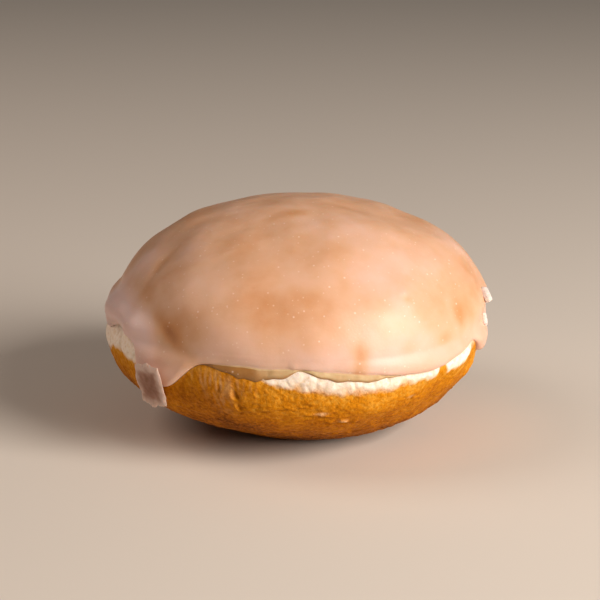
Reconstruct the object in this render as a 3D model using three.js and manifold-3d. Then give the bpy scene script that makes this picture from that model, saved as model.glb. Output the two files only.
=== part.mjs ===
// An iced doughnut without a hole: a fried yeast dough body, the coat of sugar icing over its
// upper half, and the loose bits of dry icing that stuck to the coat.
// Millimetres, +Z up. The origin is the centre of the flat foot that it rests on.
// Angles round the doughnut are in degrees from +X, counter-clockwise seen from above.
import * as THREE from "three";
import { ParametricGeometry } from "three/addons/geometries/ParametricGeometry.js";
import { mergeVertices } from "three/addons/utils/BufferGeometryUtils.js";
import Module from "manifold-3d";

const wasm = await Module();
wasm.setup();

// Dough body
const BELT_RADIUS = 42.6; // the widest ring, where the two fried halves meet
const BELT_HEIGHT = 23;
const DOME_RADIUS = 41.5; // the upper half is a little narrower, under the icing
const DOME_HEIGHT = 27; // where the dome's arc starts
const DOUGH_TOP = 50.1;
const FOOT_RADIUS = 14; // the flat that the weight has pressed into the underside
const SHOULDER_PULL = 1.6; // how softly the dome turns into the belt

// Icing coat
const GAP = 0.3; // clearance between touching solids
const ICING_THICKNESS = 1.0;
const RIM_THICKNESS = 1.7; // the bead that the icing sets in along its edge
const RIM_WIDTH = 5;
const EDGE_ROUNDING = 1.5;
const EDGE_THICKNESS = 0.35;
const ICING_EDGE_HEIGHT = 24.3; // the usual height of the coat's lower edge

// Where that edge lies higher or lower than usual: angle, half width, rise.
const EDGE_MOVES = [
  [256, 34, 1.2], [308, 32, -2.4], [206, 15, 3.2], [346, 7, -3.4], [20, 25, 0.8],
  [74, 13, -3.5], [104, 20, 1.3], [133, 10, -2.8], [160, 18, 0.8], [45, 12, -0.9],
];
const LONG_RUN = 6; // how far the longest run reaches below the rest of the edge

// Facets
const AROUND = 80;
const DOUGH_ROWS = 30;
const ICING_ROWS = 16;

const { degToRad: degrees, smoothstep, clamp, euclideanModulo } = THREE.MathUtils;

// A smooth bump round the doughnut, 1 at its middle angle and 0 beyond its half width.
function bump(angle, middle, halfWidth) {
  const turn = euclideanModulo(angle - middle + 180, 360) - 180;
  const share = Math.min(Math.abs(turn) / halfWidth, 1);
  return (1 + Math.cos(Math.PI * share)) / 2;
}

// A wave round the doughnut, with a crest at the given angle.
const wave = (angle, crests, crestAngle) => Math.cos(degrees(crests * (angle - crestAngle)));

// The half outline of the dough, as radius and height, from the crown down to the foot's centre.
function makeMeridian() {
  const drop = BELT_HEIGHT / Math.sqrt(1 - (FOOT_RADIUS / BELT_RADIUS) ** 2);
  const footAngle = Math.acos(FOOT_RADIUS / BELT_RADIUS);
  const outline = new THREE.Path();
  outline.absellipse(0, DOME_HEIGHT, DOME_RADIUS, DOUGH_TOP - DOME_HEIGHT, Math.PI / 2, 0, true, 0);
  outline.bezierCurveTo(
    DOME_RADIUS, DOME_HEIGHT - SHOULDER_PULL,
    BELT_RADIUS, BELT_HEIGHT + SHOULDER_PULL,
    BELT_RADIUS, BELT_HEIGHT,
  );
  outline.absellipse(0, BELT_HEIGHT, BELT_RADIUS, drop, 0, -footAngle, true, 0);
  outline.lineTo(0, 0);
  return outline;
}

const meridian = makeMeridian();
const meridianLength = meridian.getLength();

// How far along the meridian the outline passes a height, by halving.
function alongAtHeight(height) {
  let [above, below] = [0, 1];
  while (below - above > 1e-5) {
    const middle = (above + below) / 2;
    if (meridian.getPointAt(middle).y > height) above = middle;
    else below = middle;
  }
  return above;
}

// Hand-shaped dough isn't round: it is a little oval, its underside bulges to one side and its foot
// lies to the other, and it is pressed in at one shoulder and on one flank.
function outOfRound(angle, height) {
  const oval = 1 + 0.008 * wave(angle, 2, 5) + 0.004 * wave(angle, 3, 70);
  const underside = Math.sin(Math.PI * clamp(height / BELT_HEIGHT, 0, 1));
  const low = 1 - smoothstep(height, 1.5, 10);
  const lean = (0.022 * underside - 0.1 * low) * wave(angle, 1, 195);
  const shoulder = bump(angle, 185, 60) * smoothstep(height, 28.5, 32) * (1 - smoothstep(height, 42, 48));
  const flank = bump(angle, 350, 28) * smoothstep(height, 14, 19) * (1 - smoothstep(height, 27, 31));
  return oval * (1 + lean - 0.045 * shoulder - 0.035 * flank);
}

// The point at this angle and share of the meridian, lifted off the dough along its normal.
function surfacePoint(angle, along, lift, target) {
  const { x: radius, y: height } = meridian.getPointAt(along);
  const slope = meridian.getTangentAt(along);
  const lifted = along === 0 ? 0 : radius * outOfRound(angle, height) - slope.y * lift;
  const up = along === 0 ? lift : slope.x * lift;
  return target.set(lifted * Math.cos(degrees(angle)), lifted * Math.sin(degrees(angle)), height + up);
}

// The height of the icing's lower edge. Its long run falls steeply on one side and slants on the other.
function icingEdgeHeight(angle) {
  const ripples = 0.25 * wave(angle, 5, 40) + 0.2 * wave(angle, 11, 3);
  const longRun = LONG_RUN * smoothstep(angle, 217, 220) * (1 - smoothstep(angle, 228.5, 241.5));
  const moves = EDGE_MOVES.map(([middle, halfWidth, rise]) => rise * bump(angle, middle, halfWidth));
  return moves.reduce((sum, move) => sum + move, ICING_EDGE_HEIGHT + ripples - longRun);
}

// The coat's thickness at a distance back from its edge.
function icingThickness(fromEdge) {
  const rounding = Math.min(fromEdge / EDGE_ROUNDING, 1);
  const bead = RIM_THICKNESS - ICING_THICKNESS;
  const full = ICING_THICKNESS + bead * (1 - smoothstep(fromEdge, 0, RIM_WIDTH));
  return EDGE_THICKNESS + (full - EDGE_THICKNESS) * Math.sqrt(1 - (1 - rounding) ** 2);
}

// One closed skin round the vertical axis: place(angle, row, target) runs from axis to axis.
// The angles run backwards, which turns the faces outwards.
function closedSkin(place, rows) {
  const skin = (u, v, target) => place(((1 - u) % 1) * 360, Math.round(v * rows), target);
  return new ParametricGeometry(skin, AROUND, rows);
}

// The dough's whole surface, lifted off it by a clearance.
function makeDough(clearance = 0) {
  const place = (angle, row, target) => surfacePoint(angle, row / DOUGH_ROWS, clearance, target);
  return closedSkin(place, DOUGH_ROWS);
}

// The coat and all that is under it: down the outer face to the edge, then in to the axis.
function makeCoatedHalf() {
  const place = (angle, row, target) => {
    if (row > ICING_ROWS) return target.set(0, 0, BELT_HEIGHT);
    const edge = alongAtHeight(icingEdgeHeight(angle));
    const along = edge * Math.sin(((row / ICING_ROWS) * Math.PI) / 2);
    const fromEdge = (edge - along) * meridianLength;
    return surfacePoint(angle, along, GAP + icingThickness(fromEdge), target);
  };
  return closedSkin(place, ICING_ROWS + 1);
}

// A closed mesh as a manifold-3d solid.
function toSolid(geometry) {
  const bare = geometry.clone();
  bare.deleteAttribute("normal");
  bare.deleteAttribute("uv");
  const merged = mergeVertices(bare, 1e-3);
  const vertProperties = merged.getAttribute("position").array;
  const triVerts = new Uint32Array(merged.index.array);
  return new wasm.Manifold(new wasm.Mesh({ numProp: 3, vertProperties, triVerts }));
}

// A manifold-3d solid as a mesh, in flat facets.
function toGeometry(solid) {
  const { numProp, vertProperties, triVerts } = solid.getMesh();
  const geometry = new THREE.BufferGeometry();
  const positions = new THREE.InterleavedBuffer(vertProperties, numProp);
  geometry.setAttribute("position", new THREE.InterleavedBufferAttribute(positions, 3, 0));
  geometry.setIndex(new THREE.BufferAttribute(triVerts, 1));
  geometry.computeVertexNormals();
  return geometry;
}

// The icing is what the coated half holds outside the dough.
function makeIcing() {
  return toGeometry(toSolid(makeCoatedHalf()).subtract(toSolid(makeDough(GAP))));
}

// A broken piece of set icing: an uneven outline, cut from a sheet of this thickness.
function makeBrokenPiece(width, height, thickness) {
  const half = width / 2;
  const outline = new THREE.Shape();
  outline.moveTo(-half, height * 0.46);
  outline.lineTo(-half * 0.5, -height * 0.38);
  outline.lineTo(0, -height * 0.5);
  outline.lineTo(half * 0.8, -height * 0.44);
  outline.lineTo(half, -height * 0.2);
  outline.quadraticCurveTo(half * 0.7, height * 0.15, half * 0.5, height * 0.5);
  outline.closePath();
  return new THREE.ExtrudeGeometry(outline, { depth: thickness, bevelEnabled: false, curveSegments: 4 });
}

// Stands a mesh on the surface: its +Z is the surface's normal and its +Y runs up the meridian,
// with its top tipped outwards by some degrees.
function standOnSurface(mesh, angle, height, lift, tip = 0) {
  const along = alongAtHeight(height);
  const outward = surfacePoint(angle, along, lift + 1, new THREE.Vector3());
  surfacePoint(angle, along, lift, mesh.position);
  outward.sub(mesh.position).normalize();
  const around = new THREE.Vector3(-Math.sin(degrees(angle)), Math.cos(degrees(angle)), 0);
  const up = outward.clone().cross(around);
  mesh.quaternion.setFromRotationMatrix(new THREE.Matrix4().makeBasis(around, up, outward));
  mesh.rotateX(degrees(tip));
}

const doughColour = new THREE.MeshStandardMaterial({ color: 0xc77a24, roughness: 0.6, metalness: 0 });
const icingColour = new THREE.MeshStandardMaterial({ color: 0xe6b48c, roughness: 0.38, metalness: 0 });
const dryIcingColour = new THREE.MeshStandardMaterial({ color: 0xe9cfc0, roughness: 0.5, metalness: 0 });

function addPiece(parent, name, geometry, material) {
  const mesh = new THREE.Mesh(geometry, material);
  mesh.name = name;
  parent.add(mesh);
  return mesh;
}

const doughnut = new THREE.Group();
addPiece(doughnut, "dough", makeDough(), doughColour);
addPiece(doughnut, "icing", makeIcing(), icingColour);

const flake = addPiece(doughnut, "icing_flake", makeBrokenPiece(9.6, 11.4, 0.8), dryIcingColour);
standOnSurface(flake, 224.4, 18.4, GAP + 1.75, 1);

const chip = addPiece(doughnut, "icing_chip", new THREE.ConeGeometry(1.5, 1.9, 7), dryIcingColour);
chip.geometry.rotateX(Math.PI / 2);
standOnSurface(chip, 347, 31.2, GAP + 2.05);

const crumb = addPiece(doughnut, "icing_crumb", new THREE.IcosahedronGeometry(0.9, 1), dryIcingColour);
crumb.scale.set(0.8, 1.7, 0.7);
standOnSurface(crumb, 346, 26.4, GAP + 2.15);

export default doughnut;
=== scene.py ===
"""An iced doughnut without a hole: fried dough, a coat of set sugar icing and three loose bits of it.

Shapes are worked out in millimetres and become metres when a mesh is made. A place on the doughnut is
an angle, in degrees from +X and counter-clockwise seen from above, and a distance along the dough's
outline, measured from the crown down to the middle of the foot.
"""

import itertools
import logging
import math
from collections.abc import Callable
from dataclasses import dataclass, field
from enum import Enum
from functools import partial
from typing import Any

import bpy
import numpy as np
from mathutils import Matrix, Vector
from mathutils.kdtree import KDTree


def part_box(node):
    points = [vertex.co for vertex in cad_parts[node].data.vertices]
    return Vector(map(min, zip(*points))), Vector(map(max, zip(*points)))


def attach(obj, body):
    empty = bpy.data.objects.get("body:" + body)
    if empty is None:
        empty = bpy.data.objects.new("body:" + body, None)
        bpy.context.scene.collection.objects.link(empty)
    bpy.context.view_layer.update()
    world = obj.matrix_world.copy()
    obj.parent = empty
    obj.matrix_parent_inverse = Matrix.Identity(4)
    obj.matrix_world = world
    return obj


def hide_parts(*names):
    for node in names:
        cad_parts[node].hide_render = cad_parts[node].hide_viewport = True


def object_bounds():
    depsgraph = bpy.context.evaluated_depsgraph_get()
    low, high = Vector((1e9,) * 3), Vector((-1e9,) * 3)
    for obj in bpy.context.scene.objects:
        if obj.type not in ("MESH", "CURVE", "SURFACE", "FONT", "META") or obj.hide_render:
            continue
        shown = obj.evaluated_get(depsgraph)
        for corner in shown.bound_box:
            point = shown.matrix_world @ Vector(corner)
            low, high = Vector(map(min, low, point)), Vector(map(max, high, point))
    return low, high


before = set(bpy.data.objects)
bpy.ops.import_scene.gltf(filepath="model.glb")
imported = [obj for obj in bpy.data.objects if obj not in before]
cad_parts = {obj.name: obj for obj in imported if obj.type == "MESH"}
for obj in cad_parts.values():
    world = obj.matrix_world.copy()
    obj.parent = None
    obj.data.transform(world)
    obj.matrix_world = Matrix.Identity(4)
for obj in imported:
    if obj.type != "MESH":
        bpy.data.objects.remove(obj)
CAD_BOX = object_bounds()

log = logging.getLogger("doughnut")
MM = 0.001
FRONT = 270.0
Array = np.ndarray


class Slot(Enum):
    """The record's material slots."""

    DOUGH = "fried_dough"
    ICING = "sugar_icing"
    DRY_ICING = "dry_icing"


# --------------------------------------------------------------------------- shapes and patterns


def smooth(value: Array | float, low: float, high: float) -> Array:
    """Rises smoothly from 0 at low to 1 at high; low may be above high, and then it falls.

    Args:
        value: the numbers to place.
        low: where the rise starts.
        high: where it ends.

    Returns:
        The shares, from 0 to 1.
    """
    share = np.clip((value - low) / (high - low), 0, 1)
    return share * share * (3 - 2 * share)


def turn_from(angle: Array, middle: float) -> Array:
    """The signed turn in degrees from a middle angle, between -180 and 180."""
    return (angle - middle + 180) % 360 - 180


def bump(angle: Array, middle: float, half_width: float) -> Array:
    """A smooth bump round the doughnut: 1 at its middle angle and 0 beyond its half width."""
    share = np.minimum(np.abs(turn_from(angle, middle)) / half_width, 1)
    return (1 + np.cos(math.pi * share)) / 2


def plateau(angle: Array, start: float, full: float, fade: float, end: float) -> Array:
    """Rises between two angles, stays at 1, and falls between two more."""
    return smooth(angle, start, full) * smooth(angle, end, fade)


def wave(angle: Array, crests: int, crest_angle: float) -> Array:
    """A wave round the doughnut, with a crest at the given angle."""
    return np.cos(np.radians(crests * (angle - crest_angle)))


def ridge(value: Array, width: float) -> Array:
    """1 where a value is 0, falling away on both sides of it."""
    return np.exp(-((value / width) ** 2))


def swung(first: Array, second: Array, degrees: float) -> tuple[Array, Array]:
    """Two square axes, or places along them, turned so that the first moves towards the second."""
    turn = math.radians(degrees)
    return first * math.cos(turn) + second * math.sin(turn), second * math.cos(turn) - first * math.sin(turn)


def raised(line: Array, moves: tuple[tuple[float, float, float], ...], angle: Array) -> Array:
    """Moves a line round the doughnut up and down by smooth bumps.

    Args:
        line: its heights.
        moves: a middle angle, a half width and a rise for each bump.
        angle: its angles.

    Returns:
        The moved heights.
    """
    for middle, half_width, rise in moves:
        line = line + rise * bump(angle, middle, half_width)
    return line


def on_circle(angle: Array, level: float = 0.0) -> Array:
    """Points on a circle of radius 1, for patterns that have to close up round the doughnut."""
    turn = np.radians(angle)
    return np.c_[np.cos(turn), np.sin(turn), 0 * turn + level]


def pick_by_cell(order: Array, cell: Array) -> Array:
    """A number from 0 to 255 for each unit cell in space, from a shuffled list of them."""
    x, y, z = (cell & 255).T
    return order[(order[(order[x] + y) & 255] + z) & 255]


# Brings gradient noise, which seldom passes 0.6, out to about 1.
STRETCH = 1.6


@dataclass(frozen=True)
class Noise:
    """Smooth gradient noise in space, mostly between minus its height and its height.

    Attributes:
        size: millimetres from one bump to the next.
        seed: picks the pattern.
        octaves: layers, each half the size and half the strength of the one before.
        height: how high its bumps are.
    """

    size: float
    seed: int
    octaves: int = 1
    height: float = 1.0

    def at(self, points: Array) -> Array:
        """Reads the noise.

        Args:
            points: an (n, 3) array of places, in millimetres.

        Returns:
            One value for each point.
        """
        layers = (
            self._layer(points * (2**octave / self.size), octave) / 2**octave
            for octave in range(self.octaves)
        )
        return self.height * sum(layers)

    def _layer(self, points: Array, octave: int) -> Array:
        """Reads one layer, which has a bump to each unit cell.

        Args:
            points: an (n, 3) array of places, in cells.
            octave: the layer, which picks its pattern.

        Returns:
            One value for each point.
        """
        chance = np.random.default_rng((self.seed, octave))
        order = chance.permutation(256)
        slopes = chance.normal(size=(256, 3))
        slopes /= np.linalg.norm(slopes, axis=1)[:, None]
        cell = np.floor(points).astype(int)
        local = points - cell
        fade = local**3 * (local * (local * 6 - 15) + 10)
        total = np.zeros(len(points))
        for corner in map(np.array, itertools.product((0, 1), repeat=3)):
            share = np.prod(np.where(corner, fade, 1 - fade), axis=1)
            total += share * ((local - corner) * slopes[pick_by_cell(order, cell + corner)]).sum(1)
        return STRETCH * total


@dataclass(frozen=True)
class Pits:
    """Round pits scattered in space, one to a cell.

    Attributes:
        spacing: millimetres from one pit to the next.
        radius: the largest pit's radius, under half the spacing.
        seed: picks the pattern.
        depth: how deep they are in the middle.
    """

    spacing: float
    radius: float
    seed: int
    depth: float

    def at(self, points: Array) -> Array:
        """Reads the pits.

        Args:
            points: an (n, 3) array of places, in millimetres.

        Returns:
            How deep in a pit each point is, and 0 outside.
        """
        chance = np.random.default_rng(self.seed)
        order = chance.permutation(256)
        offsets = chance.uniform(size=(256, 3))
        sizes = self.radius / self.spacing * chance.uniform(0, 1, 256) ** 0.7
        scaled = points / self.spacing
        cell = np.floor(scaled).astype(int)
        depth = np.zeros(len(points))
        for step in map(np.array, itertools.product((-1, 0, 1), repeat=3)):
            picked = pick_by_cell(order, cell + step)
            gap = np.linalg.norm(cell + step + offsets[picked] - scaled, axis=1)
            depth = np.maximum(depth, np.clip(1 - (gap / sizes[picked]) ** 2, 0, 1))
        return self.depth * depth


# --------------------------------------------------------------------------- the dough's shape


@dataclass(frozen=True)
class Mark:
    """A soft oval mark on the surface: a dent, a rise, or a stain.

    Attributes:
        angle: where its middle is, in degrees.
        height: its middle's height over the table, in millimetres.
        across: its half width.
        tall: its half length, up the surface.
        amount: what it adds in the middle.
        lean: degrees that its top leans towards larger angles.
    """

    angle: float
    height: float
    across: float
    tall: float
    amount: float
    lean: float = 0.0


@dataclass(frozen=True)
class Crease:
    """A fold of skin: a groove with a raised lip on one side.

    Attributes:
        angle: where its middle is, in degrees.
        height: its middle's height.
        length: from end to end.
        width: the groove's half width.
        depth: how deep the groove is.
        lip: how far the lip stands up.
        lean: degrees that the crease turns from level; 90 stands upright.
    """

    angle: float
    height: float
    length: float
    width: float
    depth: float
    lip: float
    lean: float = 0.0


OUTLINE_STEPS = 1500
SHOULDER_STEPS = 200
FOOT_STEPS = 300

# How many half widths from its groove a crease still shows, and where its lip stands.
CREASE_REACH = 6
LIP_PLACE = 1.7


@dataclass
class DoughShape:
    """The dough's surface: an outline turned round the axis, a little out of round.

    The overall height and width are the CAD model's. The other sizes are shares of them.

    Attributes:
        top: the height of the crown.
        belt_radius: the radius where it is widest.
        belt_share: how high the belt is.
        dome_share: how high the dome above it starts.
        dome_radius_share: the dome's radius there.
        foot_share: the flat foot's radius.
        shoulder_pull: how far the curve between belt and dome keeps upright, in millimetres.
        table: points along the outline, with their distance along it and their slope.
    """

    top: float
    belt_radius: float
    belt_share: float = 0.4591
    dome_share: float = 0.5389
    dome_radius_share: float = 0.9742
    foot_share: float = 0.3286
    shoulder_pull: float = 1.6
    table: dict[str, Array] = field(default_factory=dict)

    @classmethod
    def from_frame(cls) -> "DoughShape":
        """Fits a shape to the CAD model's dough.

        Returns:
            The shape.
        """
        low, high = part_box("dough")
        oval_allowance = 1.0035
        return cls(top=high.z / MM, belt_radius=(high.x - low.x) / MM / 2 * oval_allowance)

    def __post_init__(self) -> None:
        """Works out the outline once, as points with their distance along it and their slope."""
        belt = self.belt_radius
        belt_height = self.top * self.belt_share
        dome_height = self.top * self.dome_share
        dome_radius = belt * self.dome_radius_share
        foot = belt * self.foot_share
        drop = belt_height / math.sqrt(1 - self.foot_share**2)
        up = np.linspace(math.pi / 2, 0, OUTLINE_STEPS)
        dome = np.c_[dome_radius * np.cos(up), dome_height + (self.top - dome_height) * np.sin(up)]
        knots = np.array([
            (dome_radius, dome_height),
            (dome_radius, dome_height - self.shoulder_pull),
            (belt, belt_height + self.shoulder_pull),
            (belt, belt_height),
        ])
        step = np.linspace(0, 1, SHOULDER_STEPS)[1:, None]
        weights = ((1 - step) ** 3, 3 * (1 - step) ** 2 * step, 3 * (1 - step) * step**2, step**3)
        shoulder = sum(weight * knot for weight, knot in zip(weights, knots))
        down = np.linspace(0, -math.acos(self.foot_share), OUTLINE_STEPS)[1:]
        lower = np.c_[belt * np.cos(down), belt_height + drop * np.sin(down)]
        flat = np.c_[np.linspace(foot, 0, FOOT_STEPS)[1:], np.zeros(FOOT_STEPS - 1)]
        line = np.vstack([dome, shoulder, lower, flat])
        steps = np.hypot(*np.diff(line, axis=0).T)
        slope = np.gradient(line, axis=0)
        slope /= np.linalg.norm(slope, axis=1)[:, None]
        self.table = {
            "along": np.concatenate([[0], np.cumsum(steps)]),
            "radius": line[:, 0],
            "height": line[:, 1],
            "out": slope[:, 0],
            "up": slope[:, 1],
        }

    @property
    def length(self) -> float:
        """The outline's whole length, from the crown to the middle of the foot."""
        return float(self.table["along"][-1])

    def read(self, along: Array, column: str) -> Array:
        """A column of the outline's table at distances along it."""
        return np.interp(along, self.table["along"], self.table[column])

    def along_at(self, height: Array) -> Array:
        """How far along the outline a height is."""
        return np.interp(-np.asarray(height), -self.table["height"], self.table["along"])

    def roundness(self, angle: Array, height: Array) -> Array:
        """How far it is out of round: an oval, a leaning underside and two pressed-in places.

        Args:
            angle: degrees round the doughnut.
            height: millimetres over the table.

        Returns:
            The factor on the radius.
        """
        oval = 1 + 0.008 * wave(angle, 2, 5) + 0.004 * wave(angle, 3, 70)
        underside = np.sin(math.pi * np.clip(height / (self.top * self.belt_share), 0, 1))
        lean = (0.022 * underside - 0.1 * smooth(height, 10, 1.5)) * wave(angle, 1, 195)
        shoulder = bump(angle, 185, 60) * smooth(height, 28.5, 32) * smooth(height, 48, 42)
        flank = bump(angle, 350, 28) * smooth(height, 14, 19) * smooth(height, 31, 27)
        return oval * (1 + lean - 0.045 * shoulder - 0.035 * flank)

    def place(self, angle: Array, along: Array, lift: Array | float = 0.0) -> Array:
        """Points on the surface, lifted off it along its normal.

        Args:
            angle: degrees round the doughnut.
            along: millimetres along the outline.
            lift: millimetres off the surface.

        Returns:
            An (n, 3) array, in millimetres.
        """
        radius, height = self.read(along, "radius"), self.read(along, "height")
        reach = radius * self.roundness(angle, height) - self.read(along, "up") * lift
        turn = np.radians(angle)
        return np.c_[reach * np.cos(turn), reach * np.sin(turn), height + self.read(along, "out") * lift]

    def local(self, angle: Array, along: Array, mark: Mark | Crease) -> tuple[Array, Array]:
        """How far places are from a mark's middle: millimetres to the side of it and above it."""
        across = np.radians(turn_from(angle, mark.angle)) * self.read(along, "radius")
        return across, float(self.along_at(mark.height)) - along

    def stain(self, angle: Array, along: Array, marks: list[Mark]) -> Array:
        """Adds up a list of marks.

        Args:
            angle: degrees round the doughnut.
            along: millimetres along the outline.
            marks: the marks.

        Returns:
            What they add at each place.
        """
        total = np.zeros(len(angle))
        for mark in marks:
            across, up = self.local(angle, along, mark)
            up, across = swung(up, across, mark.lean)
            total += mark.amount * np.exp(-((across / mark.across) ** 2) - (up / mark.tall) ** 2)
        return total

    def fold(self, angle: Array, along: Array, creases: list[Crease], warp: Array) -> tuple[Array, Array]:
        """The relief of a list of creases.

        Args:
            angle: degrees round the doughnut.
            along: millimetres along the outline.
            creases: the creases.
            warp: how far each place is pushed across them, so that they wander.

        Returns:
            The height that they add, and how deep in a groove each place is, from 0 to 1.
        """
        relief, groove = np.zeros(len(angle)), np.zeros(len(angle))
        for crease in creases:
            run, beside = swung(*self.local(angle, along, crease), crease.lean)
            beside = beside + warp
            near = (np.abs(beside) < CREASE_REACH * crease.width) & (np.abs(run) < crease.length / 2)
            ends = np.cos(math.pi * run[near] / crease.length) ** 0.7
            share = beside[near] / crease.width
            ends = ends * np.clip(0.75 + 0.9 * np.sin(1.9 * run[near] + crease.angle), 0.15, 1)
            cut = np.exp(-(share**2)) * ends
            lip = crease.lip * ends * np.exp(-((share - LIP_PLACE) ** 2) / 1.4)
            relief[near] += lip - crease.depth * cut
            groove[near] = np.maximum(groove[near], cut)
        return relief, groove


# --------------------------------------------------------------------------- meshes in rings

FULL_RING = 960
SMALLEST_RING = 15
HALVE_BELOW = 0.72


def ring_sizes(radii: Array, full: int = FULL_RING) -> list[int]:
    """How many vertices each ring gets, so that they stay about as far apart as on the widest ring.

    Args:
        radii: the rings' radii, from one pole to the other.
        full: the vertices on the widest ring.

    Returns:
        One size per ring, each the same as the last, half of it, or twice it.
    """
    widest = max(radii)
    wanted = []
    for radius in radii:
        size = full
        while size > SMALLEST_RING and radius < widest * size / full * HALVE_BELOW:
            size //= 2
        wanted.append(size)
    peak = int(np.argmax(wanted))
    for index in range(peak - 1, -1, -1):
        wanted[index] = max(wanted[index], wanted[index + 1] // 2)
    for index in range(peak + 1, len(wanted)):
        wanted[index] = max(wanted[index], wanted[index - 1] // 2)
    return wanted


def stitch(sizes: list[int]) -> list[tuple[int, ...]]:
    """Makes the faces between rings of vertices, and the fans that close both ends on a pole.

    Vertex 0 is the first pole, the rings follow in order, and the last vertex is the other pole.

    Args:
        sizes: how many vertices each ring has.

    Returns:
        The faces, as vertex numbers.
    """
    faces: list[tuple[int, ...]] = [(0, 1 + j, 1 + (j + 1) % sizes[0]) for j in range(sizes[0])]
    start = 1
    for size, following in zip(sizes, sizes[1:]):
        below = start + size
        if following == size:
            faces += [
                (start + j, below + j, below + (j + 1) % size, start + (j + 1) % size) for j in range(size)
            ]
        elif following > size:
            for j in range(size):
                near, far = start + j, start + (j + 1) % size
                left, middle, right = (below + (2 * j + k) % following for k in range(3))
                faces += [(near, left, middle), (near, middle, far), (far, middle, right)]
        else:
            for j in range(following):
                near, far = below + j, below + (j + 1) % following
                left, middle, right = (start + (2 * j + k) % size for k in range(3))
                faces += [(near, middle, left), (near, far, middle), (far, right, middle)]
        start = below
    last = start + sizes[-1]
    faces += [(last, start + (j + 1) % sizes[-1], start + j) for j in range(sizes[-1])]
    return faces


@dataclass
class Rings:
    """A closed skin round an axis, as one flat list of places.

    Attributes:
        sizes: the number of vertices on each ring.
        angle: every vertex's angle, poles included.
        row: every vertex's ring, as a number that rises from pole to pole.
    """

    sizes: list[int]
    angle: Array = field(init=False)
    row: Array = field(init=False)

    def __post_init__(self) -> None:
        """Lists the vertices' angles and rows."""
        turns = [np.arange(size) * 360 / size for size in self.sizes]
        rows = [np.full(size, index + 1) for index, size in enumerate(self.sizes)]
        self.angle = np.concatenate([[0.0], *turns, [0.0]])
        self.row = np.concatenate([[0], *rows, [len(self.sizes) + 1]])


def make_piece(
    name: str, points: Array, faces: list[tuple[int, ...]], marks: dict[str, Array],
) -> bpy.types.Object:
    """Makes a smooth-shaded mesh object in the scene.

    Args:
        name: the object's name.
        points: its vertices, in millimetres.
        faces: its faces, as vertex numbers.
        marks: named numbers per vertex, which the finishes read.

    Returns:
        The new object.
    """
    mesh = bpy.data.meshes.new(name)
    mesh.from_pydata((points * MM).tolist(), [], faces)
    mesh.polygons.foreach_set("use_smooth", np.ones(len(mesh.polygons), bool))
    for mark, values in marks.items():
        attribute = mesh.attributes.new(mark, "FLOAT", "POINT")
        attribute.data.foreach_set("value", np.asarray(values, np.float32))
    mesh.validate()
    mesh.update()
    piece = bpy.data.objects.new(name, mesh)
    bpy.context.scene.collection.objects.link(piece)
    return piece


def hand_over(piece: bpy.types.Object, slot: Slot, node: str, finish: bpy.types.Material) -> None:
    """Dresses a piece, lets it ride on the only body, and has it stand for its CAD node.

    Args:
        piece: the visible piece.
        slot: its material slot in the record. It is not used.
        node: the CAD node that it replaces.
        finish: its material.
    """
    piece.data.materials.append(finish)
    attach(piece, "root")
    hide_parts(node)
    log.info("%s: %d faces", piece.name, len(piece.data.polygons))


# --------------------------------------------------------------------------- finishes

Socket = bpy.types.NodeSocket
Value = float | tuple[float, ...] | str | Socket

# A colour mix keeps its share and its two colours at these inputs, and its colour at this output.
SHARE, FIRST, SECOND, MIXED = 0, 6, 7, 2


def linear(hex_colour: str) -> tuple[float, float, float, float]:
    """Turns an sRGB colour into a linear one.

    Args:
        hex_colour: a colour such as #c77a24.

    Returns:
        Red, green, blue and alpha, from 0 to 1.
    """
    parts = [int(hex_colour[i : i + 2], 16) / 255 for i in (1, 3, 5)]
    red, green, blue = (p / 12.92 if p <= 0.04045 else ((p + 0.055) / 1.055) ** 2.4 for p in parts)
    return red, green, blue, 1.0


def per_metre(millimetres: float) -> float:
    """The texture scale that repeats a pattern every so many millimetres."""
    return 1 / (millimetres * MM)


def add_node(
    tree: bpy.types.NodeTree,
    kind: str,
    inputs: dict[str | int, Value],
    output: str | int = 0,
    stops: tuple[tuple[float, str], ...] = (),
    **settings: Any,
) -> Socket | None:
    """Adds a shader node with its settings and links.

    Args:
        tree: the material's nodes.
        kind: the node's type, without its "ShaderNode" start.
        inputs: values for its inputs by name or number: a number, a hex colour, or a socket to link.
        output: which of its outputs to give back.
        stops: on a colour ramp, the places of the colours and their hex values.
        settings: the node's own properties.

    Returns:
        The output, or None from a node that has no outputs.
    """
    node = tree.nodes.new("ShaderNode" + kind)
    for name, value in settings.items():
        setattr(node, name, value)
    for name, value in inputs.items():
        if isinstance(value, Socket):
            tree.links.new(value, node.inputs[name])
        else:
            node.inputs[name].default_value = linear(value) if isinstance(value, str) else value
    for _ in stops[2:]:
        node.color_ramp.elements.new(0.5)
    for index, (position, colour) in enumerate(stops):
        node.color_ramp.elements[index].position = position
        node.color_ramp.elements[index].color = linear(colour)
    return node.outputs[output] if node.outputs else None


@dataclass(frozen=True)
class Finish:
    """What every finish shares: an empty material, to which its own make() adds the nodes."""

    name: str

    def begin(self) -> tuple[bpy.types.Material, Callable[..., Socket], Socket]:
        """Starts a material.

        Returns:
            The material, the function that adds a node to it, and its object coordinates.
        """
        material = bpy.data.materials.new(self.name)
        material.use_nodes = True
        material.node_tree.nodes.clear()
        add = partial(add_node, material.node_tree)
        return material, add, add("TexCoord", {}, "Object")


# --------------------------------------------------------------------------- finishes of each piece


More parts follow.
